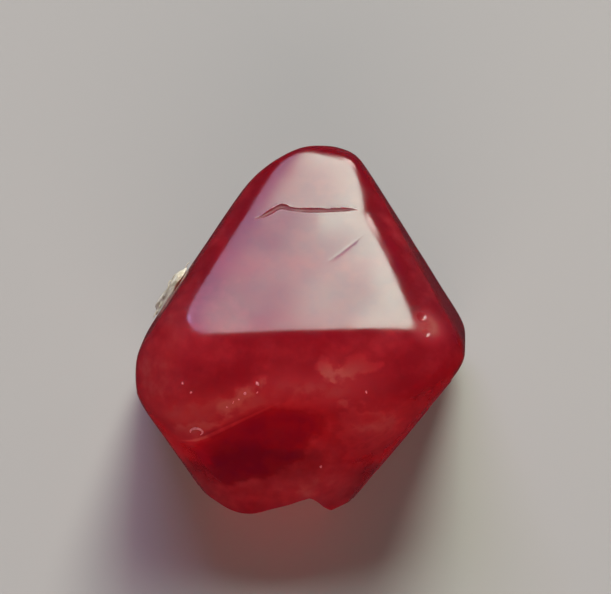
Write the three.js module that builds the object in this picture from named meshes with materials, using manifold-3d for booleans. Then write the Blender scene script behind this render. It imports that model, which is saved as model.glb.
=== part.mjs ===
// A gem-red crystal with the eight faces of an octahedron, lying on one of them.
// Its near corner has snapped off, a crack crosses the tip of its top face, and a crumb of white marble,
// the rock that it grew in, still sits on its left face.
//
// Millimetres, +Z up, the near side towards -Y. Below, the crystal is described from its heart, the point
// that all its planes are measured from. The origin is under the heart, in the face that the crystal lies on.
import * as THREE from "three";
import { mergeVertices } from "three/addons/utils/BufferGeometryUtils.js";
import Module from "manifold-3d";

const wasm = await Module();
wasm.setup();

// How sharply flat faces turn into one another: a higher power gives a crisper edge.
const EDGE_POWER = 40;

// Mesh steps along each edge of the octahedron, and how strongly they crowd towards the edges.
const EDGE_STEPS = 26;
const EDGE_CROWDING = 1.5;

// A plane is given by its outward direction, as degrees of tilt from +Z and of turn from +X, and by its
// distance from the heart. The faces lie within 4 degrees of a regular octahedron's.
const FACES = {
  top: { tilt: 0, turn: 0, distance: 3.5 },
  front: { tilt: 70.5, turn: -90, distance: 3.54 },
  right: { tilt: 72.3, turn: 26.8, distance: 3.72 },
  left: { tilt: 72.1, turn: 152.8, distance: 3.475 },
  bottom: { tilt: 180, turn: 0, distance: 3.565 },
  back: { tilt: 109.5, turn: 90, distance: 3.47 },
  leftUnder: { tilt: 108.7, turn: -151.4, distance: 3.97 },
  rightUnder: { tilt: 110.2, turn: -31.3, distance: 3.27 },
};

// Each corner is blunted by a small plane. The near corner's is cut away again by the break.
const CORNERS = {
  far: { tilt: 55.3, turn: 78.4, distance: 5.17 },
  left: { tilt: 50.4, turn: -155.2, distance: 4.7 },
  right: { tilt: 54.8, turn: -30.1, distance: 4.95 },
  near: { tilt: 125.3, turn: -90, distance: 5.3 },
  backLeft: { tilt: 125.3, turn: 150, distance: 5.3 },
  backRight: { tilt: 125.3, turn: 30, distance: 5.19 },
};

// Each edge is worn to a bevel, which passes this far below the sharp edge. A lean widens it towards one end.
// Fullness leaves it less worn at the tip: further out by that share for each millimetre of the tip's length.
const BEVELS = [
  { between: ["top", "front"], depth: 0.53, lean: 0.036 },
  { between: ["top", "left"], depth: 0.17, lean: 0.008 },
  { between: ["top", "right"], depth: 0.27, lean: -0.034, fullness: 0.045 },
  { between: ["front", "leftUnder"], depth: 0.44, lean: 0 },
  { between: ["front", "rightUnder"], depth: 0.49, lean: 0 },
  { between: ["left", "leftUnder"], depth: 0.35, lean: 0 },
  { between: ["right", "rightUnder"], depth: 0.12, lean: 0 },
  { between: ["left", "back"], depth: 0.9, lean: 0 },
  { between: ["right", "back"], depth: 0.32, lean: 0 },
  { between: ["bottom", "back"], depth: 0.35, lean: 0 },
  { between: ["bottom", "leftUnder"], depth: 0.35, lean: 0 },
  { between: ["bottom", "rightUnder"], depth: 0.35, lean: 0 },
];

// The tip of the crystal starts at this line across the top face. Fullness grows over this length of it.
const TIP = { start: 2.1, length: 1.5 };

// The heart stands this much lower than the bottom plane's distance, which beds the base down to a true plane.
const BEDDING = 0.03;
const HEART_HEIGHT = FACES.bottom.distance - BEDDING;

// The near corner snapped off along straight lines in this direction. Square to it, the broken surface has
// this outline, as millimetres across and up from the heart: from the left, up to a rounded notch, and down
// again to a tooth. Everything below the outline, down to the floor of the cut, is gone.
const BREAK = {
  tilt: 36,
  turn: -87.9,
  left: [[-3.2, -2.97], [-2.24, -3.63], [-1.82, -3.88], [-1.45, -3.93], [-1.12, -3.91], [0.02, -3.56]],
  notch: [0.15, -3.5],
  right: [[0.28, -3.58], [0.56, -3.86], [0.69, -3.93], [0.86, -3.86], [1.6, -3.62], [4, -3]],
  floor: -8,
  length: 16,
};

// The crack, a groove in the top face, as points along it in X and Y.
const CRACK = {
  width: 0.11,
  steps: 40,
  sides: 6,
  points: [[-1.2, 1.71], [-1.03, 1.76], [-0.81, 1.93], [-0.52, 2.11], [-0.34, 2.05], [-0.17, 1.99],
    [0.4, 1.99], [0.77, 2.05], [1.19, 2.15], [1.43, 2.2]],
};

// Shell-shaped hollows, each part of a ball's surface: where the surface is hit, the ball's radius and its depth.
const CHIPS = [
  { tilt: 36.5, turn: 50, radius: 0.9, depth: 0.08 }, // at the crack's right-hand end
  { tilt: 41.9, turn: -16.2, radius: 0.3, depth: 0.03 }, // on the right shoulder
  { tilt: 44.6, turn: -23.3, radius: 0.24, depth: 0.03 },
  { tilt: 84, turn: 57, radius: 1.5, depth: 0.07 }, // on the edge between right and back
  { tilt: 124, turn: 38, radius: 1.4, depth: 0.1 }, // on the back right corner
  { tilt: 128, turn: 132, radius: 1.2, depth: 0.08 }, // near the back left corner
];

// Three-sided growth plates, one layer higher than the faces that they grew on. A plate points towards a corner
// of its face, and its middle is moved this far along that line and beside it. Height is the layer's thickness.
const PLATES = [
  { face: "back", towards: "far", along: -0.2, beside: -0.3, side: 6, height: 0.04 },
  { face: "back", towards: "far", along: -0.7, beside: -0.6, side: 3, height: 0.08 },
  { face: "leftUnder", towards: "left", along: -0.3, beside: 0.3, side: 4.2, height: 0.04 },
  { face: "rightUnder", towards: "right", along: 0.5, beside: -0.3, side: 4.6, height: 0.02 },
  { face: "rightUnder", towards: "right", along: 0.8, beside: 0.2, side: 2.4, height: 0.035 },
];
const PLATE_REACH = 0.5; // how far the prism that a plate is cut from reaches to each side of the face

// The crumb of marble: where it sits on the crystal, its longest direction and its half sizes along that,
// across that and away from the crystal. The gap keeps it clear of the crystal.
const FLECK = {
  tilt: 90,
  turn: 153.5,
  longest: [-0.52, -0.635, -0.57],
  halfSizes: [0.76, 0.48, 0.21],
  roughness: 0.14,
  gap: 0.02,
};

const materials = {
  crystal: new THREE.MeshStandardMaterial({ color: 0x96182a, roughness: 0.12, metalness: 0 }),
  marble: new THREE.MeshStandardMaterial({ color: 0xb9aa96, roughness: 0.85, metalness: 0 }),
};

// The unit vector with this tilt from +Z and turn from +X.
function direction({ tilt, turn }) {
  const fromZ = THREE.MathUtils.degToRad(tilt);
  const fromX = THREE.MathUtils.degToRad(turn);
  const level = Math.sin(fromZ);
  return new THREE.Vector3(level * Math.cos(fromX), level * Math.sin(fromX), Math.cos(fromZ));
}

// The worn bevel along the edge where two faces meet.
function bevelPlane({ between, depth, lean, fullness = 0 }) {
  const [first, second] = between.map((name) => FACES[name]);
  const edge = new THREE.Vector3().crossVectors(direction(first), direction(second)).normalize();
  const outward = direction(first).add(direction(second)).normalize();

  // The point of the sharp edge nearest the heart is where both faces meet a plane square to the edge.
  const faces = new THREE.Matrix3();
  faces.set(...direction(first), ...direction(second), ...edge);
  const onEdge = new THREE.Vector3(first.distance, second.distance, 0).applyMatrix3(faces.invert());

  const onBevel = onEdge.addScaledVector(outward, -depth);
  const normal = outward.addScaledVector(edge, lean).normalize();
  return { normal, distance: onBevel.dot(normal), fullness };
}

function givenPlane(plane) {
  return { normal: direction(plane), distance: plane.distance, fullness: 0 };
}

const planes = [
  ...Object.values(FACES).map(givenPlane),
  ...Object.values(CORNERS).map(givenPlane),
  ...BEVELS.map(bevelPlane),
];

// The point of the whole crystal's surface in one direction from the heart. Each plane alone would stop it at
// that plane's own distance. The power sum follows the nearest plane, and rounds off where two are equal.
function surfacePoint(outward) {
  const alongTop = outward.y / Math.max(outward.z, 0.3) * FACES.top.distance;
  const intoTip = THREE.MathUtils.clamp(alongTop - TIP.start, 0, TIP.length);
  let sum = 0;
  for (const { normal, distance, fullness } of planes) {
    const reach = distance * (1 + fullness * intoTip);
    sum += Math.max(0, normal.dot(outward) / reach) ** EDGE_POWER;
  }
  const point = outward.clone().multiplyScalar(sum ** (-1 / EDGE_POWER));
  point.z = Math.max(point.z, -HEART_HEIGHT);
  return point;
}

// Keeps only the shared positions of a geometry, which is what a closed solid is made from.
function welded(geometry) {
  geometry.deleteAttribute("normal");
  geometry.deleteAttribute("uv");
  return mergeVertices(geometry, 1e-5);
}

function solidFrom(geometry) {
  const closed = welded(geometry);
  const vertProperties = new Float32Array(closed.attributes.position.array);
  const triVerts = new Uint32Array(closed.index.array);
  return new wasm.Manifold(new wasm.Mesh({ numProp: 3, vertProperties, triVerts }));
}

function geometryFrom(solid) {
  const { vertProperties, triVerts } = solid.getMesh();
  const geometry = new THREE.BufferGeometry();
  geometry.setAttribute("position", new THREE.BufferAttribute(vertProperties, 3));
  geometry.setIndex(new THREE.BufferAttribute(triVerts, 1));
  geometry.computeVertexNormals();
  return geometry;
}

// The crystal before anything was broken off it, or with a growth over 1 a slightly bigger one. An octahedron's
// mesh is turned so that its corners point to the crystal's, its steps are crowded towards its edges, and each
// point is moved out to the surface.
function wholeCrystal(growth = 1) {
  const corners = new THREE.Matrix4().makeBasis(
    direction({ tilt: 54.74, turn: -30 }),
    direction({ tilt: 54.74, turn: 90 }),
    direction({ tilt: 54.74, turn: -150 }),
  );
  const geometry = welded(new THREE.OctahedronGeometry(1, EDGE_STEPS - 1));
  const positions = geometry.attributes.position;
  for (let i = 0; i < positions.count; i++) {
    const crowded = new THREE.Vector3().fromBufferAttribute(positions, i).toArray()
      .map((value) => Math.sign(value) * Math.abs(value) ** EDGE_CROWDING);
    const outward = new THREE.Vector3(...crowded).applyMatrix4(corners).normalize();
    positions.setXYZ(i, ...surfacePoint(outward).multiplyScalar(growth));
  }
  return solidFrom(geometry);
}

// What snapped off the near corner: the outline of the break, closed below and drawn out along its lines.
function brokenOffPiece() {
  const outline = new THREE.Shape();
  outline.moveTo(BREAK.left[0][0], BREAK.floor);
  for (const [across, up] of BREAK.left) {
    outline.lineTo(across, up);
  }
  outline.quadraticCurveTo(...BREAK.notch, ...BREAK.right[0]);
  for (const [across, up] of BREAK.right.slice(1)) {
    outline.lineTo(across, up);
  }
  outline.lineTo(BREAK.right.at(-1)[0], BREAK.floor);

  const geometry = new THREE.ExtrudeGeometry(outline, {
    depth: BREAK.length,
    bevelEnabled: false,
    curveSegments: 4,
  });
  geometry.translate(0, 0, -BREAK.length / 2);
  const lines = direction(BREAK);
  const across = new THREE.Vector3(0, 0, 1).cross(lines).normalize();
  const up = new THREE.Vector3().crossVectors(lines, across);
  geometry.applyMatrix4(new THREE.Matrix4().makeBasis(across, up, lines));
  return solidFrom(geometry);
}

// The groove of the crack: a thin round bar laid along it, with its middle in the top face.
function crackGroove() {
  const path = new THREE.CatmullRomCurve3(
    CRACK.points.map(([x, y]) => new THREE.Vector3(x, y, FACES.top.distance)),
    false,
    "centripetal",
  );
  const section = new THREE.Shape();
  section.absarc(0, 0, CRACK.width / 2);
  return solidFrom(new THREE.ExtrudeGeometry(section, {
    steps: CRACK.steps,
    curveSegments: CRACK.sides,
    extrudePath: path,
  }));
}

// The ball that leaves a shell-shaped hollow.
function chipBall(chip) {
  const surface = surfacePoint(direction(chip));
  const middle = surface.addScaledVector(direction(chip), chip.radius - chip.depth);
  const ball = new THREE.SphereGeometry(chip.radius, 28, 20);
  ball.translate(...middle);
  return solidFrom(ball);
}

// A growth plate: the part of the crystal, grown by one more layer, that is inside a three-sided prism.
function growthPlate({ face, towards, along, beside, side, height }) {
  const outward = direction(FACES[face]);
  const ahead = direction(CORNERS[towards]).projectOnPlane(outward).normalize();
  const across = new THREE.Vector3().crossVectors(outward, ahead);
  const cornerRadius = side / Math.sqrt(3);
  const prism = new THREE.CylinderGeometry(cornerRadius, cornerRadius, 2 * PLATE_REACH, 3);
  const middle = outward.clone().multiplyScalar(FACES[face].distance)
    .addScaledVector(ahead, along)
    .addScaledVector(across, beside);
  prism.applyMatrix4(new THREE.Matrix4().makeBasis(across, outward, ahead).setPosition(middle));
  return solidFrom(prism).intersect(wholeCrystal(1 + height / FACES[face].distance));
}

// The marble crumb: a lumpy ball, pressed out of round, less what would be inside the crystal.
function marbleFleck(crystal) {
  const outward = direction(FACES.left);
  const longest = new THREE.Vector3(...FLECK.longest).projectOnPlane(outward).normalize();
  const across = new THREE.Vector3().crossVectors(outward, longest);
  const ball = welded(new THREE.IcosahedronGeometry(1, 7));
  const positions = ball.attributes.position;
  for (let i = 0; i < positions.count; i++) {
    const point = new THREE.Vector3().fromBufferAttribute(positions, i);
    const lumps = Math.sin(5 * point.x + 1) * Math.sin(4 * point.y) + Math.sin(7 * point.z + 3 * point.x) / 2;
    point.multiplyScalar(1 + FLECK.roughness * lumps);
    positions.setXYZ(i, ...point.multiply(new THREE.Vector3(...FLECK.halfSizes)));
  }
  const place = surfacePoint(direction(FLECK));
  ball.applyMatrix4(new THREE.Matrix4().makeBasis(longest, across, outward).setPosition(place));
  return solidFrom(ball).subtract(crystal);
}

let crystal = wholeCrystal();
for (const plate of PLATES) {
  crystal = crystal.add(growthPlate(plate));
}
for (const chip of CHIPS) {
  crystal = crystal.subtract(chipBall(chip));
}
crystal = crystal.subtract(crackGroove()).subtract(brokenOffPiece());

const crystalMesh = new THREE.Mesh(geometryFrom(crystal), materials.crystal);
crystalMesh.name = "ruby_crystal";

const fleckMesh = new THREE.Mesh(geometryFrom(marbleFleck(crystal)), materials.marble);
fleckMesh.name = "marble_fleck";
fleckMesh.position.copy(direction(FACES.left)).multiplyScalar(FLECK.gap);

const specimen = new THREE.Group();
specimen.name = "ruby_crystal_specimen";
specimen.position.z = HEART_HEIGHT;
specimen.add(crystalMesh, fleckMesh);

export default specimen;
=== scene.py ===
# Ruby crystal: a gem-red octahedron lying on one face, with a snapped corner, a cracked tip, healed cracks
# inside and a crumb of white marble on its left side
import bpy
import bmesh
import math
import numpy as np
from mathutils import Matrix, Vector


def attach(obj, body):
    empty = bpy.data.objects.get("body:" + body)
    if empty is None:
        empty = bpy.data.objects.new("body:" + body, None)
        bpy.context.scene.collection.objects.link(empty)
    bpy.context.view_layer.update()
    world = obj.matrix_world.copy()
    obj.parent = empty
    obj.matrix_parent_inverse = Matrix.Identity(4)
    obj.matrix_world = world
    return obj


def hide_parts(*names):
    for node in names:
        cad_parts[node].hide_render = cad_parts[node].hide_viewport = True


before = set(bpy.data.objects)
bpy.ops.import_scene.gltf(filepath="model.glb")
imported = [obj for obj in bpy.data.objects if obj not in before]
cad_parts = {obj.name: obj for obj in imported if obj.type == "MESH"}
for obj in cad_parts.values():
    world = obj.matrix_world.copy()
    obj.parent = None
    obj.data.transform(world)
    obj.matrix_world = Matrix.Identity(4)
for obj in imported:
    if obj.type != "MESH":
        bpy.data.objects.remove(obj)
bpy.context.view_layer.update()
mm = 0.001
scene = bpy.context.scene


# helpers for colours, nodes and meshes

def linear(hexColour, alpha=1.0):
    channels = [int(hexColour[i:i + 2], 16) / 255 for i in (1, 3, 5)]
    return tuple(c / 12.92 if c <= 0.04045 else ((c + 0.055) / 1.055) ** 2.4 for c in channels) + (alpha,)


def addNode(tree, kind, settings=None, inputs=None, **links):
    # inputs holds values or the sockets that feed them; each further word names an output and where it goes
    node = tree.nodes.new("ShaderNode" + kind)
    for name, value in (settings or {}).items():
        setattr(node, name, value)
    for name, value in (inputs or {}).items():
        if isinstance(value, bpy.types.NodeSocket):
            tree.links.new(value, node.inputs[name])
        else:
            node.inputs[name].default_value = value
    for name, target in links.items():
        tree.links.new(node.outputs[name], target)
    return node


def newMaterial(name):
    material = bpy.data.materials.new(name)
    material.use_nodes = True
    material.node_tree.nodes.clear()
    return material, material.node_tree


def colourSteps(node, steps):
    # steps are places from 0 to 1 with a hex colour each
    ramp = node.color_ramp
    while len(ramp.elements) < len(steps):
        ramp.elements.new(0.5)
    for element, (place, colour) in zip(ramp.elements, steps):
        element.position = place
        element.color = linear(colour)
    return node


def direction(tilt, turn):
    # unit vector from degrees of tilt from +Z and turn from +X
    fromZ, fromX = math.radians(tilt), math.radians(turn)
    return np.array([math.sin(fromZ) * math.cos(fromX), math.sin(fromZ) * math.sin(fromX), math.cos(fromZ)])


def unit(vector):
    return vector / np.linalg.norm(vector)


def faceAxes(tilt, turn):
    # level across the face, up the face, and out of it
    out = direction(tilt, turn)
    across = unit(np.cross((0, 0, 1), out))
    return across, np.cross(out, across), out


def slowWaves(points, length, count, seed):
    # smooth random hills of about unit height, as a sum of sines that run in all directions
    draw = np.random.default_rng(seed)
    height = np.zeros(len(points))
    for _ in range(count):
        along = unit(draw.normal(size=3)) * 2 * math.pi / (length * draw.uniform(0.6, 1.8))
        height += np.sin(points @ along + draw.uniform(0, 2 * math.pi))
    return height / math.sqrt(count / 2)


def smoothLine(points, count, closed=False, between=24):
    # evenly spaced points on a smooth curve through the given ones
    points = np.array(points, float)
    padded = points[[-1, *range(len(points)), 0, 1]] if closed else points[[0, *range(len(points)), -1]]
    curve = []
    for a, b, c, d in zip(padded, padded[1:], padded[2:], padded[3:]):
        for t in np.linspace(0, 1, between, endpoint=False):
            curve.append(0.5 * (2 * b + (c - a) * t + (2 * a - 5 * b + 4 * c - d) * t ** 2
                                + (3 * b - a - 3 * c + d) * t ** 3))
    curve = np.array([*curve, points[0] if closed else points[-1]])
    run = np.concatenate([[0], np.cumsum(np.linalg.norm(np.diff(curve, axis=0), axis=1))])
    places = np.linspace(0, run[-1], count, endpoint=not closed)
    return np.array([np.interp(places, run, column) for column in curve.T]).T


def meshObject(name, points, faces):
    mesh = bpy.data.meshes.new(name)
    mesh.from_pydata([tuple(p) for p in points], [], [tuple(f) for f in faces])
    mesh.validate()
    obj = bpy.data.objects.new(name, mesh)
    scene.collection.objects.link(obj)
    return obj


def gridFaces(rows, columns, offset=0, flip=False):
    # the quads of a grid whose points are numbered row by row
    faces = []
    for i in range(rows - 1):
        for j in range(columns - 1):
            a = offset + i * columns + j
            quad = (a, a + columns, a + columns + 1, a + 1)
            faces.append(quad[::-1] if flip else quad)
    return faces


def slab(name, top, bottom):
    # a closed block between two grids of points; rows run to the right and columns up, seen from the top
    rows, columns = top.shape[:2]
    count = rows * columns
    faces = gridFaces(rows, columns) + gridFaces(rows, columns, count, flip=True)
    ring = [i * columns for i in range(rows)]
    ring += [(rows - 1) * columns + j for j in range(1, columns)]
    ring += [i * columns + columns - 1 for i in range(rows - 2, -1, -1)]
    ring += list(range(columns - 2, 0, -1))
    for a, b in zip(ring, ring[1:] + ring[:1]):
        faces.append((b, a, count + a, count + b))
    return meshObject(name, [*top.reshape(-1, 3), *bottom.reshape(-1, 3)], faces)


def tube(name, path, radii, sides):
    # a closed round bar along a path, with its own thickness at each point
    points, faces = [], []
    ahead = np.gradient(path, axis=0)
    side = unit(np.cross(ahead[0], (0.31, 0.22, 0.93)))   # square to the path, any way round
    for place, along, radius in zip(path, ahead, radii):
        along = unit(along)
        side = unit(side - along * (side @ along))
        up = np.cross(along, side)
        for k in range(sides):
            angle = 2 * math.pi * k / sides
            points.append(place + radius * (math.cos(angle) * side + math.sin(angle) * up))
    for i in range(len(path) - 1):
        for k in range(sides):
            a, b = i * sides + k, i * sides + (k + 1) % sides
            faces.append((a, b, b + sides, a + sides))
    faces += [tuple(range(sides))[::-1], tuple(range((len(path) - 1) * sides, len(path) * sides))]
    return meshObject(name, points, faces)


def ballPoints(subdivisions):
    # unit points and triangles of an even ball
    ball = bmesh.new()
    bmesh.ops.create_icosphere(ball, subdivisions=subdivisions, radius=1)
    points = np.array([vertex.co for vertex in ball.verts])
    faces = [[vertex.index for vertex in face.verts] for face in ball.faces]
    ball.free()
    return points, faces


def combine(body, other, operation):
    # join or cut two closed meshes, and leave no modifier behind
    modifier = body.modifiers.new("combine", "BOOLEAN")
    modifier.operation = operation
    modifier.solver = "MANIFOLD"
    modifier.object = other
    evaluated = body.evaluated_get(bpy.context.evaluated_depsgraph_get())
    result = bpy.data.meshes.new_from_object(evaluated)
    body.modifiers.clear()
    result.materials.clear()
    body.data = result
    bpy.data.objects.remove(other)
    return body


def joined(name, pieces):
    # one object from several that don't touch
    points, faces = [], []
    for piece in pieces:
        start = len(points)
        points += [tuple(vertex.co) for vertex in piece.data.vertices]
        faces += [[start + i for i in polygon.vertices] for polygon in piece.data.polygons]
        bpy.data.objects.remove(piece)
    return meshObject(name, points, faces)


def toMetres(obj):
    # shapes are made in millimetres from the crystal's heart: bring one to metres above the floor
    obj.data.transform(Matrix.Translation((0, 0, crystal["heartHeight"] * mm)) @ Matrix.Scale(mm, 4))
    obj.data.update()
    return obj


# the crystal, in millimetres and degrees. Each face and corner is a plane, given by its tilt from +Z, its
# turn from +X and its distance from the crystal's heart
crystal = {
    "meshSteps": 120,   # along each edge of the octahedron
    "crowding": 1.4,       # above 1, the mesh gets finer towards the edges
    "edgePower": 40,       # a higher power gives crisper edges
    "sharpAngle": 25,
    "heartHeight": 3.535,  # above the floor
    "faces": {
        "top": (0, 0, 3.5), "front": (70.5, -90, 3.54), "right": (72.3, 26.8, 3.72),
        "left": (72.1, 152.8, 3.475), "bottom": (180, 0, 3.565), "back": (109.5, 90, 3.47),
        "leftUnder": (108.7, -151.4, 3.97), "rightUnder": (110.2, -31.3, 3.27),
    },
    "corners": {
        "far": (55.3, 78.4, 5.17), "left": (50.4, -155.2, 4.7), "right": (54.8, -30.1, 4.95),
        "near": (125.3, -90, 5.3), "backLeft": (125.3, 150, 5.3), "backRight": (125.3, 30, 5.19),
        "topRight": (14, -5, 4.078),
    },
    "bevels": [  # between two faces: depth below the sharp edge, and lean
        ("top", "front", 0.53, 0.036), ("top", "left", 0.17, 0.008), ("top", "right", 0.27, -0.034),
        ("front", "leftUnder", 0.44, 0), ("front", "rightUnder", 0.49, 0), ("left", "leftUnder", 0.35, 0),
        ("right", "rightUnder", 0.12, 0), ("left", "back", 0.9, 0), ("right", "back", 0.32, 0),
        ("bottom", "back", 0.35, 0), ("bottom", "leftUnder", 0.35, 0), ("bottom", "rightUnder", 0.35, 0),
    ],
    "waves": {"height": 0.003, "length": 2.0, "count": 16, "seed": 5},
    "dome": {"from": 2.9, "over": 0.5, "drop": 0.003},   # the top face falls away from its middle
    "tip": {   # the part beyond the crack
        "from": 2.1, "length": 1.5, "fullness": 0.045,   # its right-hand bevel is less and less worn
        "drop": 0.018, "edge": 0.04,                     # it has sunk towards its right end
        "bendLength": 1.0, "bendWidth": 0.6,             # and the skin before the crack has bent with it
    },
}

# two grooves in the top face, cut by a round bar: the higher its lift, the shallower the groove
crack = {
    "line": [(-1.27, 1.69), (-1.05, 1.76), (-0.83, 1.91), (-0.56, 2.08), (-0.36, 2.03), (-0.17, 1.99),
             (0.4, 1.99), (0.77, 2.02), (1.12, 2.06), (1.36, 2.07)],
    "widths": [0, 0.11, 0.14, 0.15, 0.13, 0.14, 0.15, 0.15, 0.15, 0.13, 0],
    "uneven": 0.14, "lift": 0.06, "steps": 120, "sides": 24,
}
scratch = {
    "line": [(0.55, 0.46), (0.8, 0.63), (1.12, 0.93), (1.5, 1.32)],
    "widths": [0, 0.1, 0.12, 0.1, 0],
    "uneven": 0.1, "lift": 0.35, "steps": 40, "sides": 80,
}
grooveWaves = {"length": 0.4, "count": 8, "seed": 3}   # of their uneven widths

# the near corner, snapped off under an outline of points across and up
brokenCorner = {
    "tilt": 36, "turn": -87.9,   # the direction that the break's straight lines run in
    "outlineSteps": 400,
    "outline": [(-3.4, -2.8), (-2.85, -3.22), (-2.24, -3.63), (-1.82, -3.86), (-1.45, -3.93),
                (-1.12, -3.91), (-0.5, -3.74), (0.02, -3.56), (0.15, -3.52), (0.28, -3.58), (0.56, -3.86),
                (0.69, -3.93), (0.86, -3.86), (1.6, -3.62), (4, -3)],
    "floor": -8, "halfLength": 7,
    "gridStep": 0.05,
    "ripples": {"height": 0.006, "length": 0.42, "bunching": 2, "strike": (-2.2, 3.2)},   # round the strike
    "waves": {"height": 0.008, "length": 1.3, "count": 12, "seed": 8},
}

# hollows where the shoulders and edges were struck, and low three-sided plates that grew on the hidden faces
chips = {
    "ripples": {"height": 0.0015, "length": 0.16},
    "places": [  # tilt and turn of the place, the hollow's ball radius, and its depth
        (41.9, -16.2, 0.3, 0.03),  # on the right shoulder
        (44.6, -23.3, 0.24, 0.03),
        (84, 57, 1.5, 0.07),       # on the edge between right and back
        (124, 38, 1.4, 0.1),       # on the back right corner
        (128, 132, 1.2, 0.08),     # near the back left corner
    ],
}
plates = {
    "reach": 0.5,   # of the prism that cuts a plate out, to each side of the face
    "places": [  # face, the corner it points to, how far along and beside, its side, and its height
        ("back", "far", -0.2, -0.3, 6, 0.04),
        ("back", "far", -0.7, -0.6, 3, 0.08),
        ("leftUnder", "left", -0.3, 0.3, 4.2, 0.04),
        ("rightUnder", "right", 0.5, -0.3, 4.6, 0.02),
        ("rightUnder", "right", 0.8, 0.2, 2.4, 0.035),
    ],
}


def crystalPlanes():
    normals, distances = [], []
    for tilt, turn, distance in [*crystal["faces"].values(), *crystal["corners"].values()]:
        normals.append(direction(tilt, turn))
        distances.append(distance)
    for first, second, depth, lean in crystal["bevels"]:
        tiltA, turnA, distanceA = crystal["faces"][first]
        tiltB, turnB, distanceB = crystal["faces"][second]
        a, b = direction(tiltA, turnA), direction(tiltB, turnB)
        edge, out = unit(np.cross(a, b)), unit(a + b)
        onEdge = np.linalg.solve(np.array([a, b, edge]), [distanceA, distanceB, 0])
        normal = unit(out + edge * lean)
        normals.append(normal)
        distances.append((onEdge - out * depth) @ normal)
    return np.array(normals), np.array(distances)


planeNormals, planeDistances = crystalPlanes()
bevelSides = [bevel[:2] for bevel in crystal["bevels"]]
tipBevel = len(planeDistances) - len(bevelSides) + bevelSides.index(("top", "right"))
topDistance = crystal["faces"]["top"][2]
crackPath = smoothLine([(x, y, topDistance) for x, y in crack["line"]], crack["steps"])


def surfacePoints(outward):
    # each plane alone would stop the surface: the power sum follows the nearest one and rounds the edges
    tip = crystal["tip"]
    upward = np.maximum(outward[:, 2], 0.3)   # never near zero, because the next line divides by it
    beyond = outward[:, 1] / upward * topDistance - tip["from"]
    distances = np.tile(planeDistances, (len(outward), 1))
    distances[:, tipBevel] *= 1 + tip["fullness"] * np.clip(beyond, 0, tip["length"])
    reach = np.maximum(0, outward @ planeNormals.T / distances)
    radius = (reach ** crystal["edgePower"]).sum(axis=1) ** (-1 / crystal["edgePower"])
    return outward * radius[:, None]


def bendTop(points):
    # the top face swells a little in its middle, and the tip beyond the crack has sunk by a hair
    dome, tip = crystal["dome"], crystal["tip"]
    x, y, z = points.T
    nearTop = np.clip((z - dome["from"]) / dome["over"], 0, 1)
    past = y - np.interp(x, crackPath[:, 0], crackPath[:, 1])
    beyond = np.clip(past / tip["edge"], 0, 1)
    bent = np.clip((x - crackPath[-1, 0]) / tip["bendLength"] + 1, 0, 1)
    bent = bent * np.exp(-(np.minimum(past, 0) / tip["bendWidth"]) ** 2)
    sunk = np.maximum(beyond, bent) * np.clip(x - crackPath[0, 0], 0, None)
    points[:, 2] -= nearTop * (dome["drop"] * (x ** 2 + y ** 2) + tip["drop"] * sunk)


def grownSurface(outward):
    # the crystal's skin in these directions from the heart
    points = surfacePoints(outward)
    waves = crystal["waves"]
    hills = slowWaves(points, waves["length"], waves["count"], waves["seed"])
    points += outward * waves["height"] * hills[:, None]
    bendTop(points)
    return points


def octahedronMesh(steps):
    # every whole-number point at one city-block distance from the middle, and the triangles between
    places, points, faces = {}, [], []

    def at(i, j, k):
        if (i, j, k) not in places:
            places[(i, j, k)] = len(points)
            points.append((i, j, k))
        return places[(i, j, k)]

    for sx in (1, -1):
        for sy in (1, -1):
            for sz in (1, -1):
                flip = sx * sy * sz < 0
                for i in range(steps):
                    for j in range(steps - i):
                        k = steps - i - j
                        corner = at(sx * i, sy * j, sz * k)
                        alongX = at(sx * (i + 1), sy * j, sz * (k - 1))
                        alongY = at(sx * i, sy * (j + 1), sz * (k - 1))
                        faces.append((corner, alongY, alongX) if flip else (corner, alongX, alongY))
                        if k > 1:
                            far = at(sx * (i + 1), sy * (j + 1), sz * (k - 2))
                            faces.append((alongX, alongY, far) if flip else (alongX, far, alongY))
    return np.array(points, float), faces


def wholeCrystal(name, growth=1.0, steps=crystal["meshSteps"]):
    grid, faces = octahedronMesh(steps)
    grid = np.sign(grid) * np.abs(grid) ** crystal["crowding"]
    upperCorners = [direction(54.74, turn) for turn in (-30, 90, -150)]   # of one that lies on a face
    outward = grid @ np.array(upperCorners)
    points = grownSurface(outward / np.linalg.norm(outward, axis=1)[:, None])
    points[:, 2] = np.maximum(points[:, 2], -crystal["heartHeight"])
    return meshObject(name, points * growth, faces)


def growthPlate(face, towards, along, beside, side, height):
    # the part of the crystal, grown by one more layer, that is inside a three-sided prism
    tilt, turn, distance = crystal["faces"][face]
    out = direction(tilt, turn)
    corner = direction(*crystal["corners"][towards][:2])
    ahead = unit(corner - out * (corner @ out))
    across = np.cross(out, ahead)
    middle = out * distance + ahead * along + across * beside
    points = []
    for level in (-plates["reach"], plates["reach"]):
        for k in range(3):
            angle = math.radians(120 * k)
            points.append(middle + out * level
                          + side / math.sqrt(3) * (math.cos(angle) * ahead + math.sin(angle) * across))
    faces = [(0, 2, 1), (3, 4, 5), (0, 1, 4, 3), (1, 2, 5, 4), (2, 0, 3, 5)]
    grown = wholeCrystal("layer", 1 + height / distance)
    return combine(meshObject("plate", points, faces), grown, "INTERSECT")


def chipBall(tilt, turn, radius, depth):
    # a ball with faint shell-like ripples around the spot that was struck
    out = direction(tilt, turn)
    middle = surfacePoints(out[None])[0] + out * (radius - depth)
    points, faces = ballPoints(6)
    apart = np.arccos(np.clip(points @ -out, -1, 1)) * radius
    ripple = chips["ripples"]["height"] * np.sin(2 * math.pi * apart / chips["ripples"]["length"])
    return meshObject("chip", middle + points * (radius + ripple)[:, None], faces)


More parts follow.
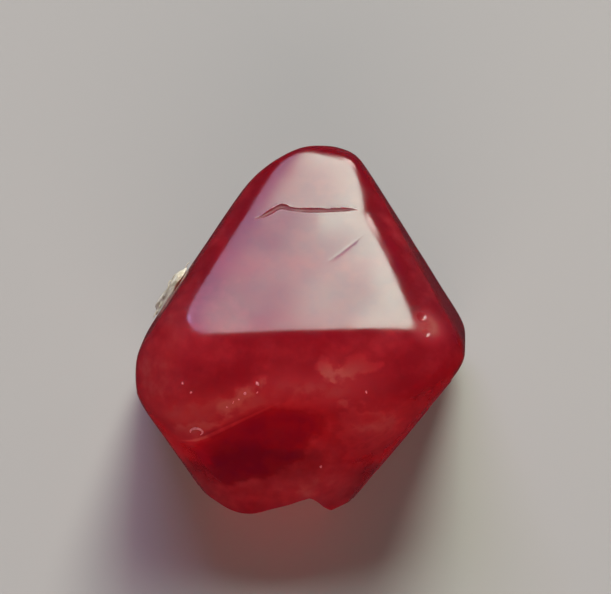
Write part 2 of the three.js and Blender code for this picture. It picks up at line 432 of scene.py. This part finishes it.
def grooveBar(groove):
    # the round bar that cuts a groove into the top face: its path and its thickness along it
    path = smoothLine([(x, y, topDistance) for x, y in groove["line"]], groove["steps"])
    path = grownSurface(path / np.linalg.norm(path, axis=1)[:, None])
    places = np.linspace(0, len(groove["widths"]) - 1, groove["steps"])
    widths = np.interp(places, range(len(groove["widths"])), groove["widths"])
    halfWidths = widths / 2 * (1 + groove["uneven"] * slowWaves(path, **grooveWaves))
    return path + (0, 0, groove["lift"]), np.hypot(halfWidths, groove["lift"])


def brokenOffPiece():
    # a block under the outline of the break, with the shell-like ripples of broken crystal on it
    run = smoothLine(brokenCorner["outline"], brokenCorner["outlineSteps"])
    step = brokenCorner["gridStep"] * 1
    across = np.arange(run[0, 0], run[-1, 0], step)
    along = np.arange(-brokenCorner["halfLength"], brokenCorner["halfLength"], step)
    u, w = np.meshgrid(across, along, indexing="ij")
    waves, ripples = brokenCorner["waves"], brokenCorner["ripples"]
    flat = np.stack([u, w, 0 * u], axis=-1).reshape(-1, 3)
    height = np.interp(u, run[:, 0], run[:, 1])
    hills = slowWaves(flat, waves["length"], waves["count"], waves["seed"])
    height += waves["height"] * hills.reshape(u.shape)
    strikeU, strikeW = ripples["strike"]
    away = np.hypot(u - strikeU, w - strikeW)
    bunched = ripples["bunching"] * np.sin(away)
    height += ripples["height"] * np.sin(2 * math.pi * away / ripples["length"] + bunched)
    lines = direction(brokenCorner["tilt"], brokenCorner["turn"])
    level = unit(np.cross((0, 0, 1), lines))
    axes = np.array([level, lines, np.cross(lines, level)])
    top = np.stack([u, w, height], axis=-1) @ axes
    bottom = np.stack([u, w, 0 * u + brokenCorner["floor"]], axis=-1) @ axes
    return slab("brokenOff", top[:, ::-1], bottom[:, ::-1])


def rubyBody():
    body = wholeCrystal("ruby_body")
    for plate in plates["places"]:
        body = combine(body, growthPlate(*plate), "UNION")
    for chip in chips["places"]:
        body = combine(body, chipBall(*chip), "DIFFERENCE")
    for groove in (crack, scratch):
        body = combine(body, tube("groove", *grooveBar(groove), groove["sides"]), "DIFFERENCE")
    return combine(body, brokenOffPiece(), "DIFFERENCE")


ruby = rubyBody()
ruby.data.shade_smooth()
ruby.data.set_sharp_from_angle(angle=math.radians(crystal["sharpAngle"]))
print("crystal made:", len(ruby.data.polygons), "faces")


# the see-through red of chrome-bearing ruby: grown faces, glossy and a little worn, over a body that fine
# mist-like flaws make slightly milky, so that it glows red where light falls into it
rubyLook = {
    "colours": [(0.0, "#b41040"), (0.35, "#e63048"), (0.75, "#f84e5a"), (1.0, "#ff7c74")],  # clear to milky
    "clearness": [(0.0, 0.76), (0.35, 0.83), (0.75, 0.7), (1.0, 0.6)],   # share of light that goes through
    "mist": {"size": 2.2, "contrast": 1.0, "middle": 0.5},      # clouds, their width in millimetres
    "mottle": {"size": 0.45, "contrast": 0.7},                  # and small blotches
    "glow": (1.0, 0.06, 0.1),    # how far the mist spreads red, green and blue light
    "glowReach": 12.0,           # millimetres
    "absorb": (32, 640, 492.8),  # of red, green and blue light, per metre
    "ior": 1.76,
    "mirror": 0.5,               # the worn skin mirrors less than a polished one would
    "roughness": (0.14, 0.22),
    "wear": {"size": 0.5, "from": 0.35, "to": 0.7},
    # egg-shaped zones: how much milkier, the face that each lies along, its middle above the floor's origin,
    # its half sizes across, up and out of the face, its lean, and how soft and how ragged its rim is
    "zones": [
        # less milky on top, so that the top glows less under the overhead light: painted shade
        (-0.5, "top", (0.8, 1.5, 7.2), (3.4, 3.4, 0.4), 0, 0.5, 0.0),             # painted shade on top
        (-0.45, "front", (-1.2, -3.44, 4.53), (1.9, 0.92, 1.3), 34, 0.2, 0.6),    # the clear window
        (0.3, "front", (-1.9, -3.2, 5.05), (1.3, 0.05, 0.5), 33, 0.5, 0.5),       # a crack's edge above it
        (0.3, "front", (0.69, -2.25, 6.53), (0.3, 0.2, 0.4), 30, 0.5, 4.0),       # two pale blotches
        (0.25, "front", (1.33, -2.25, 6.5), (0.4, 0.22, 0.4), 4, 0.5, 5.0),
        (0.28, "front", (-0.1, -2.75, 6.1), (1.9, 0.5, 0.6), 8, 0.6, 2.0),        # a band of haze
        (0.27, "front", (-2.05, -2.9, 5.6), (1.2, 0.45, 0.6), 25, 0.7, 2.0),
        (0.25, "front", (-1.35, -2.8, 6.13), (0.75, 0.16, 0.3), 45, 0.7, 3.0),    # around the specks
        (0.1, "front", (-3.3, -2.3, 5.9), (0.9, 1.2, 1.2), 0, 0.5, 0.8),          # the left shoulder
        (0.25, "front", (1.7, -3.0, 5.1), (0.9, 0.8, 0.8), 0, 0.3, 3.0),          # lace right of the window
        (0.25, "front", (-2.2, -3.0, 4.9), (1.0, 0.35, 0.8), 24, 0.3, 2.0),       # and left of it
        (0.1, "front", (-0.5, -4.0, 3.0), (2.6, 0.6, 0.9), 5, 0.4, 1.0),          # along the break
        # a paler, milkier patch that stands in for the soft haze of light on the right shoulder: painted
        # sheen
        (0.5, "right", (3.15, -1.15, 6.85), (0.45, 0.45, 0.4), 0, 0.6, 1.0),      # painted sheen on the shoulder
    ],
}


def mistZone(tree, place, noise, face, middle, halfSizes, lean, softness, ragged):
    # 1 inside an egg, 0 outside it, with a soft and ragged rim
    across, up, out = faceAxes(*crystal["faces"][face][:2])
    turn = math.radians(lean)
    long = math.cos(turn) * across + math.sin(turn) * up
    axes = Matrix([long, np.cross(out, long), out]).transposed()
    egg = addNode(tree, "Mapping", {"vector_type": "TEXTURE"}, {
        "Vector": place, "Location": Vector(middle) * mm, "Rotation": axes.to_euler(),
        "Scale": Vector(halfSizes) * mm})
    reach = addNode(tree, "VectorMath", {"operation": "LENGTH"}, {0: egg.outputs["Vector"]})
    rough = addNode(tree, "Math", {"operation": "MULTIPLY_ADD"}, {
        0: noise, 1: ragged, 2: reach.outputs["Value"]})
    rim = 1 + 0.5 * ragged   # the noise is near one half
    return addNode(tree, "MapRange", {"interpolation_type": "SMOOTHSTEP"}, {
        "Value": rough.outputs["Value"], "From Min": rim - softness, "From Max": rim + softness,
        "To Min": 1, "To Max": 0}).outputs["Result"]


def rubyMilkinessAndPaintedLight(tree, place, milkinessAndPaintedLight):
    # clouds, blotches and zones, each added to the last; two zones hold painted shade and sheen
    look = rubyLook
    for kind in ("mist", "mottle"):
        noise = addNode(tree, "TexNoise", inputs={
            "Vector": place, "Scale": 1 / (look[kind]["size"] * mm), "Detail": 3}).outputs["Fac"]
        centred = addNode(tree, "Math", {"operation": "SUBTRACT"}, {0: noise, 1: 0.5})
        milkinessAndPaintedLight = addNode(tree, "Math", {"operation": "MULTIPLY_ADD"}, {
            0: centred.outputs["Value"], 1: look[kind]["contrast"], 2: milkinessAndPaintedLight}).outputs["Value"]
    for more, *zone in look["zones"]:
        milkinessAndPaintedLight = addNode(tree, "Math", {"operation": "MULTIPLY_ADD"}, {
            0: mistZone(tree, place, noise, *zone), 1: more, 2: milkinessAndPaintedLight}).outputs["Value"]
    return milkinessAndPaintedLight


def rubyMaterial(name, roughness, milkier=0.0):
    look = rubyLook
    material, tree = newMaterial(name)
    out = addNode(tree, "OutputMaterial")
    place = addNode(tree, "TexCoord").outputs["Object"]
    milkinessAndPaintedLight = rubyMilkinessAndPaintedLight(tree, place, look["mist"]["middle"] + milkier)
    colour = colourSteps(addNode(tree, "ValToRGB", inputs={"Fac": milkinessAndPaintedLight}), look["colours"])
    through = addNode(tree, "ValToRGB", inputs={"Fac": milkinessAndPaintedLight})
    colourSteps(through, [(milky, "#ffffff") for milky, _ in look["clearness"]])
    for element, (_, share) in zip(through.color_ramp.elements, look["clearness"]):
        element.color = (share, share, share, 1)
    wear = addNode(tree, "TexNoise", inputs={
        "Vector": place, "Scale": 1 / (look["wear"]["size"] * mm), "Detail": 4})
    polish = addNode(tree, "MapRange", inputs={
        "Value": wear.outputs["Fac"], "From Min": look["wear"]["from"], "From Max": look["wear"]["to"],
        "To Min": roughness[0], "To Max": roughness[1]})
    addNode(tree, "BsdfPrincipled", inputs={
        "Base Color": colour.outputs["Color"],
        "Roughness": polish.outputs["Result"],
        "IOR": look["ior"],
        "Specular Tint": (look["mirror"], look["mirror"], look["mirror"], 1),
        "Transmission Weight": through.outputs["Color"],
        "Subsurface Weight": 1.0,
        "Subsurface Radius": look["glow"],
        "Subsurface Scale": look["glowReach"] * mm,
    }, BSDF=out.inputs["Surface"])
    most = max(look["absorb"])
    addNode(tree, "VolumeAbsorption", inputs={
        "Color": (*(1 - amount / most for amount in look["absorb"]), 1), "Density": most,
    }, Volume=out.inputs["Volume"])
    return material


# the same ruby where a crack or a scratch has broken its skin: dull, with more white in it
brokenLook = {
    "roughness": (0.4, 0.6), "milkier": 0.3,
    "below": 0.2, "offBar": 0.003,   # how far from the groove's bar its points are looked for, in millimetres
}


def groovePolygons(mesh, path, radii):
    # the ones whose every corner is on the bar that cut the groove
    points = np.array([vertex.co for vertex in mesh.vertices])
    near = np.flatnonzero(points[:, 2] > path[:, 2].min() - brokenLook["below"])
    apart = np.linalg.norm(points[near][:, None] - path[None], axis=2)
    nearest = apart.argmin(axis=1)
    onBar = abs(apart.min(axis=1) - radii[nearest]) < brokenLook["offBar"]
    chosen = set(near[onBar].tolist())
    return [polygon for polygon in mesh.polygons if chosen.issuperset(polygon.vertices)]


ruby.data.materials.append(rubyMaterial("grown_ruby", rubyLook["roughness"]))
ruby.data.materials.append(rubyMaterial("broken_ruby", brokenLook["roughness"], brokenLook["milkier"]))
for groove in (crack, scratch):
    for polygon in groovePolygons(ruby.data, *grooveBar(groove)):
        polygon.material_index = 1
toMetres(ruby)
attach(ruby, "root")
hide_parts("ruby_crystal")


# healed cracks: wavy sheets inside the crystal. Each lies on a plane, given as a face is, and its outline
# runs in millimetres across and up that plane
veils = {
    "upper": {
        "plane": (44, -92, 2.6), "seed": 21, "strength": 0.85,
        "outline": [(-3.2, -2.0), (-2.47, -1.62), (-1.96, -1.27), (-1.36, -0.88), (-0.83, -0.53),
                    (-0.39, -0.38), (0.1, -0.35), (0.59, -0.41), (0.85, -0.52), (1.13, -0.9), (1.58, -0.99),
                    (2.06, -0.87), (2.96, -0.02), (3.6, 0.6), (3.3, 1.1), (0.77, 1.1), (-1.69, 1.0),
                    (-3.2, 0.9), (-3.7, 0.06), (-3.8, -0.53), (-3.7, -1.2)],
    },
    "right": {
        "plane": (46, -84, 1.9), "seed": 33, "strength": 0.85,
        "outline": [(0.96, -0.47), (1.77, -0.44), (2.4, -0.38), (2.1, -1.21), (1.45, -2.01), (0.78, -2.7),
                    (0.4, -3.18), (0.15, -2.83), (0.17, -2.24), (0.4, -1.58), (0.71, -0.99)],
    },
    "lower": {
        "plane": (48, -95, 2.05), "seed": 40, "strength": 0.5,
        "outline": [(-1.85, -2.36), (-1.4, -2.71), (-0.39, -2.89), (0.57, -2.56), (0.83, -2.96),
                    (0.35, -2.98), (-0.56, -3.34), (-1.25, -3.44), (-1.71, -3.08)],
    },
    "deep": {
        "plane": (38, -86, 1.3), "seed": 52, "strength": 0.6,
        "outline": [(-3.2, 0.29), (-1.32, 0.5), (1.15, 0.5), (2.9, 0.2), (2.7, -0.2), (1.73, -0.9),
                    (-0.11, -1.49), (-2.08, -1.45), (-2.9, -0.9), (-3.3, -0.4)],
    },
}
veilShape = {
    "thickness": 0.02, "outlineSteps": 160, "gridStep": 0.05, "margin": 0.1,
    "waves": {"height": 0.05, "length": 1.1, "count": 14},
    "inside": 0.955, "insideSteps": 40,   # the crystal, shrunk to this, trims it
    "sharpAngle": 40,
}


def veilSheet(name, veil):
    # a thin wavy slab, trimmed by a prism of its outline and by the crystal's own shape
    tilt, turn, distance = veil["plane"]
    across, up, out = faceAxes(tilt, turn)
    outline = smoothLine(veil["outline"], veilShape["outlineSteps"], closed=True)
    step, waves = veilShape["gridStep"] * 1, veilShape["waves"]
    low, high = outline.min(axis=0) - veilShape["margin"], outline.max(axis=0) + veilShape["margin"]
    u, v = np.meshgrid(np.arange(low[0], high[0], step), np.arange(low[1], high[1], step), indexing="ij")
    flat = np.stack([u, v, 0 * u], axis=-1).reshape(-1, 3)
    hills = slowWaves(flat, waves["length"], waves["count"], veil["seed"])
    bumps = hills.reshape(u.shape) * waves["height"]

    def grid(height):
        return u[..., None] * across + v[..., None] * up + (distance + bumps + height)[..., None] * out

    sheet = slab(name, grid(veilShape["thickness"] / 2), grid(-veilShape["thickness"] / 2))
    count = len(outline)
    prism = [x * across + y * up + (distance + height) * out for height in (1, -1) for x, y in outline]
    ring = list(range(count))
    if sum(a[0] * b[1] - b[0] * a[1] for a, b in zip(outline, np.roll(outline, -1, axis=0))) < 0:
        ring = ring[::-1]
    faces = [tuple(ring), tuple(count + i for i in ring[::-1])]
    faces += [(b, a, count + a, count + b) for a, b in zip(ring, ring[1:] + ring[:1])]
    combine(sheet, meshObject("outline", prism, faces), "INTERSECT")
    inside = wholeCrystal("inside", veilShape["inside"], veilShape["insideSteps"])
    return combine(sheet, inside, "INTERSECT")


# fluid drops too small to see, left where a crack healed: milky lace with clear windows
veilLook = {
    "colours": [(0.18, "#f0c8c0"), (0.36, "#ffffff")],   # thin to dense
    "cloud": {"size": 1.8, "detail": 3, "distortion": 0.2},
    "lace": {"size": 0.8, "detail": 2, "distortion": 0.2},   # millimetres across a window of it
    "density": (0.14, 0.4),   # where the lace begins, and where it is full
    "cover": (0.4, 1.0),
    "roughness": 0.55,
    "glow": {"weight": 0.7, "spread": (1, 0.7, 0.6), "reach": 0.3},
}


def healedCrack(name, strength):
    look = veilLook
    material, tree = newMaterial(name)
    out = addNode(tree, "OutputMaterial")
    place = addNode(tree, "TexCoord").outputs["Object"]
    cloud, lace = (addNode(tree, "TexNoise", inputs={
        "Vector": place, "Scale": 1 / (look[kind]["size"] * mm), "Detail": look[kind]["detail"],
        "Roughness": 0.5, "Distortion": look[kind]["distortion"]}) for kind in ("cloud", "lace"))
    both = addNode(tree, "Math", {"operation": "MULTIPLY"}, {
        0: cloud.outputs["Fac"], 1: lace.outputs["Fac"]})
    cover = addNode(tree, "MapRange", inputs={
        "Value": both.outputs["Value"], "From Min": look["density"][0], "From Max": look["density"][1],
        "To Min": look["cover"][0] * strength, "To Max": look["cover"][1] * strength})
    colour = colourSteps(addNode(tree, "ValToRGB", inputs={"Fac": both.outputs["Value"]}), look["colours"])
    addNode(tree, "BsdfPrincipled", inputs={
        "Base Color": colour.outputs["Color"],
        "Roughness": look["roughness"],
        "Alpha": cover.outputs["Result"],
        "Subsurface Weight": look["glow"]["weight"],
        "Subsurface Radius": look["glow"]["spread"],
        "Subsurface Scale": look["glow"]["reach"] * mm,
    }, BSDF=out.inputs["Surface"])
    return material


for name, veil in veils.items():
    sheet = toMetres(veilSheet("healed_crack_" + name, veil))
    sheet.data.shade_smooth()
    sheet.data.set_sharp_from_angle(angle=math.radians(veilShape["sharpAngle"]))
    sheet.data.materials.append(healedCrack("healed_crack_" + name, veil["strength"]))
    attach(sheet, "root")
print("healed cracks made:", len(veils))


# specks: tiny pale crystals that grew in the front face and just break its skin, and one curved like a hook
specks = {
    "places": [  # across and up the front face, depth of the middle, radius
        (-1.05, 1.83, 0.045, 0.07), (-1.03, 1.58, 0.025, 0.03), (-1.3, 1.55, 0.045, 0.06),
        (-1.47, 1.37, 0.04, 0.05), (-1.6, 1.27, 0.025, 0.035), (-1.75, 1.12, 0.02, 0.03),
        (1.73, 1.64, 0.02, 0.03), (-2.66, 1.54, 0.02, 0.03), (-2.96, 1.79, 0.02, 0.03),
        (0.57, -0.77, 0.02, 0.035),
    ],
    "lumps": {"height": 0.25, "length": 1.6, "count": 8, "seed": 60},   # against a ball of radius 1
    "hook": {
        "middle": (-2.53, 0.27), "depth": -0.01,
        "radius": 0.15, "squash": 0.8, "from": -50, "to": 190,
        "thickness": 0.035, "taper": (0.3, 2.8),   # the part of a half wave that its thickness follows
        "steps": 24, "sides": 8,
    },
}


def paleSpecks():
    across, up, out = faceAxes(*crystal["faces"]["front"][:2])
    distance = crystal["faces"]["front"][2]
    ball, faces = ballPoints(3)
    lumps, hook, pieces = specks["lumps"], specks["hook"], []

    def under(x, y, depth):
        return surfacePoints(unit(x * across + y * up + distance * out)[None])[0] - out * depth

    for i, (x, y, depth, radius) in enumerate(specks["places"]):
        middle = under(x, y, depth)
        uneven = 1 + lumps["height"] * slowWaves(ball, lumps["length"], lumps["count"], lumps["seed"] + i)
        pieces.append(meshObject("speck", middle + ball * (radius * uneven)[:, None], faces))
    middle = under(*hook["middle"], hook["depth"])
    path = []
    for angle in np.radians(np.linspace(hook["from"], hook["to"], hook["steps"])):
        swing = math.cos(angle) * across + hook["squash"] * math.sin(angle) * up
        path.append(middle + hook["radius"] * swing)
    thickness = hook["thickness"] * np.sin(np.linspace(*hook["taper"], hook["steps"]))
    pieces.append(tube("hook", np.array(path), thickness, hook["sides"]))
    return joined("pale_specks", pieces)


# calcite, a clean natural crystal: whitish and glassy, and pink with the ruby's own light
calciteLook = {
    "colours": [(0.35, "#c86470"), (0.65, "#ec98a0")],
    "grainSize": 0.06,   # millimetres
    "roughness": 0.35, "ior": 1.6,
}


def caughtCalcite():
    look = calciteLook
    material, tree = newMaterial("caught_calcite")
    out = addNode(tree, "OutputMaterial")
    place = addNode(tree, "TexCoord").outputs["Object"]
    grain = addNode(tree, "TexNoise", inputs={
        "Vector": place, "Scale": 1 / (look["grainSize"] * mm), "Detail": 3})
    colour = colourSteps(addNode(tree, "ValToRGB", inputs={"Fac": grain.outputs["Fac"]}), look["colours"])
    addNode(tree, "BsdfPrincipled", inputs={
        "Base Color": colour.outputs["Color"], "Roughness": look["roughness"], "IOR": look["ior"],
    }, BSDF=out.inputs["Surface"])
    return material


pale = toMetres(paleSpecks())
pale.data.shade_smooth()
pale.data.materials.append(caughtCalcite())
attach(pale, "root")
print("specks made:", len(specks["places"]))


# the crumb of marble on the left face, in millimetres along its longest way, across that and out of the face
crumb = {
    "meshDetail": 6,
    "tilt": 90, "turn": 153.5,   # where it sits
    "longest": (-0.52, -0.635, -0.57),
    "halfSizes": (0.76, 0.48, 0.21),
    "gap": 0.02,       # between its back and the crystal's skin
    "skinSteps": 90,   # of the skin that trims it
    "grains": {"count": 70, "spread": 0.16, "furthest": 1.15, "seed": 12},
    "lumps": {"height": 0.1, "length": 1.2, "count": 10, "seed": 4},
    "sharpAngle": 30,
    "wispSteps": 30, "wispSides": 7,
    "wispTaper": 0.35,   # radians of a half wave left off at each end
    "wisps": [  # ends and bends of the fibres, then the thickness
        ([(-0.32, -0.06, 0.04), (-0.21, -0.04, 0.15), (-0.12, -0.03, 0.2), (0.0, 0.0, 0.15),
          (0.15, 0.03, 0.1), (0.38, 0.07, 0.04)], 0.016),
        ([(0.21, 0.04, 0.04), (0.46, 0.09, 0.07), (0.67, 0.13, 0.06), (0.83, 0.16, 0.04)], 0.018),
        ([(0.04, 0.2, 0.06), (0.38, 0.24, 0.08), (0.6, 0.3, 0.05)], 0.014),
        ([(-0.57, -0.1, 0.05), (-0.71, -0.13, 0.06), (-0.82, -0.15, 0.05)], 0.014),
        ([(-0.48, 0.1, 0.1), (-0.38, 0.08, 0.18), (-0.2, 0.02, 0.17)], 0.012),
        ([(0.3, -0.2, 0.06), (0.52, -0.16, 0.09), (0.74, -0.05, 0.05)], 0.013),
    ],
}


def marbleCrumb():
    tilt, turn, distance = crystal["faces"]["left"]
    out = direction(tilt, turn)
    longest = np.array(crumb["longest"])
    longest = unit(longest - out * (longest @ out))
    axes = np.array([longest, np.cross(out, longest), out])
    middle = surfacePoints(direction(crumb["tilt"], crumb["turn"])[None])[0] + out * crumb["gap"]
    ball, faces = ballPoints(crumb["meshDetail"])
    grains, lumps = crumb["grains"], crumb["lumps"]
    draw = np.random.default_rng(grains["seed"])
    sides = draw.normal(size=(grains["count"], 3))
    sides /= np.linalg.norm(sides, axis=1)[:, None]
    depths = draw.uniform(1 - grains["spread"], 1, grains["count"])
    reach = np.maximum(ball @ sides.T, 0.05) / depths   # above zero, as the next line divides by it
    radius = np.minimum(1 / reach.max(axis=1), grains["furthest"])   # the flat sides of the outermost
    hills = slowWaves(ball, lumps["length"], lumps["count"], lumps["seed"])
    radius = radius * (1 + lumps["height"] * hills)
    shape = ball * radius[:, None] * np.array(crumb["halfSizes"])
    lump = meshObject("marble_crumb", middle + shape @ axes, faces)
    crystalUnder = wholeCrystal("crystalUnder", 1 + crumb["gap"] / distance, crumb["skinSteps"])
    lump = combine(lump, crystalUnder, "DIFFERENCE")
    for points, thickness in crumb["wisps"]:
        path = smoothLine(np.array(points) @ axes + middle, crumb["wispSteps"])
        ends = crumb["wispTaper"]
        taper = np.sin(np.linspace(ends, math.pi - ends, crumb["wispSteps"])) ** 0.5
        lump = combine(lump, tube("wisp", path, thickness * taper, crumb["wispSides"]), "UNION")
    return lump


# marble, broken and weathered: grains of calcite like sugar, dull cream with a few small glints
marbleLook = {
    "colours": [(0.25, "#b8a888"), (0.5, "#e2d6be"), (0.75, "#f6f0e2")],   # stained to clean
    "grainSize": 0.11, "stainSize": 0.5,   # millimetres
    "grainShare": 0.45,                    # of the colour, the rest is stain
    "roughness": (0.45, 0.9),
    "ior": 1.6,
    "relief": {"strength": 0.5, "height": 0.02},
}


def sugaryMarble():
    look = marbleLook
    material, tree = newMaterial("sugary_marble")
    out = addNode(tree, "OutputMaterial")
    place = addNode(tree, "TexCoord").outputs["Object"]
    grains = addNode(tree, "TexVoronoi", {"feature": "F1"}, {
        "Vector": place, "Scale": 1 / (look["grainSize"] * mm)})
    stain = addNode(tree, "TexNoise", inputs={
        "Vector": place, "Scale": 1 / (look["stainSize"] * mm), "Detail": 4})
    mixed = addNode(tree, "Mix", {"data_type": "FLOAT"}, {
        "Factor": look["grainShare"], "A": stain.outputs["Fac"], "B": grains.outputs["Color"]})
    colour = addNode(tree, "ValToRGB", inputs={"Fac": mixed.outputs["Result"]})
    colourSteps(colour, look["colours"])
    polish = addNode(tree, "MapRange", inputs={
        "Value": grains.outputs["Color"], "To Min": look["roughness"][0], "To Max": look["roughness"][1]})
    bump = addNode(tree, "Bump", inputs={
        "Strength": look["relief"]["strength"], "Distance": look["relief"]["height"] * mm,
        "Height": grains.outputs["Distance"]})
    addNode(tree, "BsdfPrincipled", inputs={
        "Base Color": colour.outputs["Color"], "Roughness": polish.outputs["Result"], "IOR": look["ior"],
        "Normal": bump.outputs["Normal"],
    }, BSDF=out.inputs["Surface"])
    return material


marble = toMetres(marbleCrumb())
marble.data.shade_smooth()
marble.data.set_sharp_from_angle(angle=math.radians(crumb["sharpAngle"]))
marble.data.materials.append(sugaryMarble())
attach(marble, "root")
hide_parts("marble_fleck")
print("marble crumb made:", len(marble.data.polygons), "faces")


# floor, lights and camera, in millimetres, degrees and radiance. Glint and sky have the tilt and turn of the
# facet that mirrors them
studio = {
    "floorHalf": 600, "floorColour": "#a8a29f", "floorRoughness": 0.9,
    "world": 0.06, "worldColour": "#dca4b4",
    "softbox": {"distance": 300, "halfAngle": 20.8, "radiance": 15.2,
                "colours": [(0.43, "#e3f6e8"), (0.5, "#a89b9e"), (0.58, "#7e7490")]},   # from right to left
    "fill": {"turn": -88, "elevation": 25, "distance": 300, "halfAngle": 20, "radiance": 3.4,
             "colour": "#fff0e6"},
    "glint": {"tilt": 15.5, "turn": 48, "distance": 300, "halfAngle": 7.5, "radiance": 15.0,
              "colour": "#fff4e8"},
    "sky": {"tilt": 11.8, "turn": 190, "distance": 300, "halfAngle": 4, "radiance": 8.0,
            "colour": "#b4b8ff"},
}
cameraView = {
    "azimuth": 2.077, "elevation": 59.993, "roll": 0.532,
    "distance": 200, "millimetresPerPixel": 0.025,
    "heartPixel": (302.08, 349.76), "imageSize": (611, 594),
    "sensor": 36, "clip": (0.01, 10),   # millimetres, and metres
}
heart = np.array([0, 0, crystal["heartHeight"]])


def viewAxes():
    azimuth, elevation, roll = (math.radians(cameraView[k]) for k in ("azimuth", "elevation", "roll"))
    out = np.array([math.sin(azimuth) * math.cos(elevation), -math.cos(azimuth) * math.cos(elevation),
                    math.sin(elevation)])
    level = np.array([math.cos(azimuth), math.sin(azimuth), 0])
    steep = np.cross(out, level)
    right = math.cos(roll) * level - math.sin(roll) * steep
    up = math.sin(roll) * level + math.cos(roll) * steep
    return right, up, out


def makeCamera():
    right, up, out = viewAxes()
    width, height = cameraView["imageSize"]
    scale = cameraView["millimetresPerPixel"]
    heartX, heartY = cameraView["heartPixel"]
    place = heart + out * cameraView["distance"]
    aim = heart + right * (width / 2 - heartX) * scale + up * (heartY - height / 2) * scale
    out = unit(place - aim)
    right = unit(right - out * (right @ out))
    up = np.cross(out, right)
    data = bpy.data.cameras.new("camera")
    data.sensor_width = cameraView["sensor"]
    data.lens = data.sensor_width * cameraView["distance"] / (width * scale)
    data.clip_start, data.clip_end = cameraView["clip"]
    camera = bpy.data.objects.new("camera", data)
    rows = [(*axes, at) for axes, at in zip(np.array([right, up, out]).T, place * mm)]
    camera.matrix_world = Matrix([*rows, (0, 0, 0, 1)])
    scene.collection.objects.link(camera)
    scene.camera = camera


def discLight(name, towards, light, colour="#ffffff"):
    # a round light that faces the crystal, as bright as its radiance says
    radius = light["distance"] * math.tan(math.radians(light["halfAngle"])) * mm
    data = bpy.data.lights.new(name, "AREA")
    data.shape = "DISK"
    data.size = 2 * radius
    data.color = linear(colour)[:3]
    data.energy = light["radiance"] * math.pi * math.pi * radius ** 2
    lamp = bpy.data.objects.new(name, data)
    lamp.location = Vector((heart + towards * light["distance"]) * mm)
    lamp.rotation_euler = Vector(towards).to_track_quat("Z", "Y").to_euler()
    scene.collection.objects.link(lamp)
    return lamp


def mirrored(tilt, turn):
    # where a facet that faces this way sends the camera's view
    out, facet = viewAxes()[2], direction(tilt, turn)
    return 2 * facet * (facet @ out) - out


def makeLights():
    softbox = discLight("softbox", mirrored(0, 0), studio["softbox"])   # the top face mirrors it
    softbox.data.use_nodes = True
    tree = softbox.data.node_tree
    onLamp = addNode(tree, "NewGeometry").outputs["Parametric"]
    place = addNode(tree, "SeparateXYZ", inputs={"Vector": onLamp})
    sides = addNode(tree, "ValToRGB", inputs={"Fac": place.outputs["X"]})
    colourSteps(sides, studio["softbox"]["colours"])
    tree.links.new(sides.outputs["Color"], tree.nodes["Emission"].inputs["Color"])
    for name in ("glint", "sky"):
        light = studio[name]
        discLight(name, mirrored(light["tilt"], light["turn"]), light, light["colour"])
    fill = studio["fill"]
    lamp = discLight("fill", direction(90 - fill["elevation"], fill["turn"]), fill, fill["colour"])
    lamp.visible_glossy = lamp.visible_transmission = False   # it lifts the glow, but no face mirrors it
    world = bpy.data.worlds.new("studio")
    scene.world = world
    world.use_nodes = True
    world.node_tree.nodes["Background"].inputs["Color"].default_value = linear(studio["worldColour"])
    world.node_tree.nodes["Background"].inputs["Strength"].default_value = studio["world"]


def makeFloor():
    half = studio["floorHalf"] * mm
    corners = [(-half, -half, 0), (half, -half, 0), (half, half, 0), (-half, half, 0)]
    floor = meshObject("floor", corners, [(0, 1, 2, 3)])
    material, tree = newMaterial("matt_paper")   # matt paper, as pressed: pale, without any shine
    out = addNode(tree, "OutputMaterial")
    addNode(tree, "BsdfPrincipled", inputs={
        "Base Color": linear(studio["floorColour"]), "Roughness": studio["floorRoughness"],
    }, BSDF=out.inputs["Surface"])
    floor.data.materials.append(material)
    floor.visible_glossy = False   # the faces mirror the dark room instead of the bright paper


makeCamera()
makeLights()
makeFloor()
scene.view_settings.view_transform = "Standard"
scene.cycles.use_denoising = True
scene.cycles.sample_clamp_indirect = 2.0   # against bright dots
scene.cycles.max_bounces = 24              # light crosses the milky body many times
scene.cycles.transmission_bounces = 24
scene.cycles.glossy_bounces = 12
print("studio made")
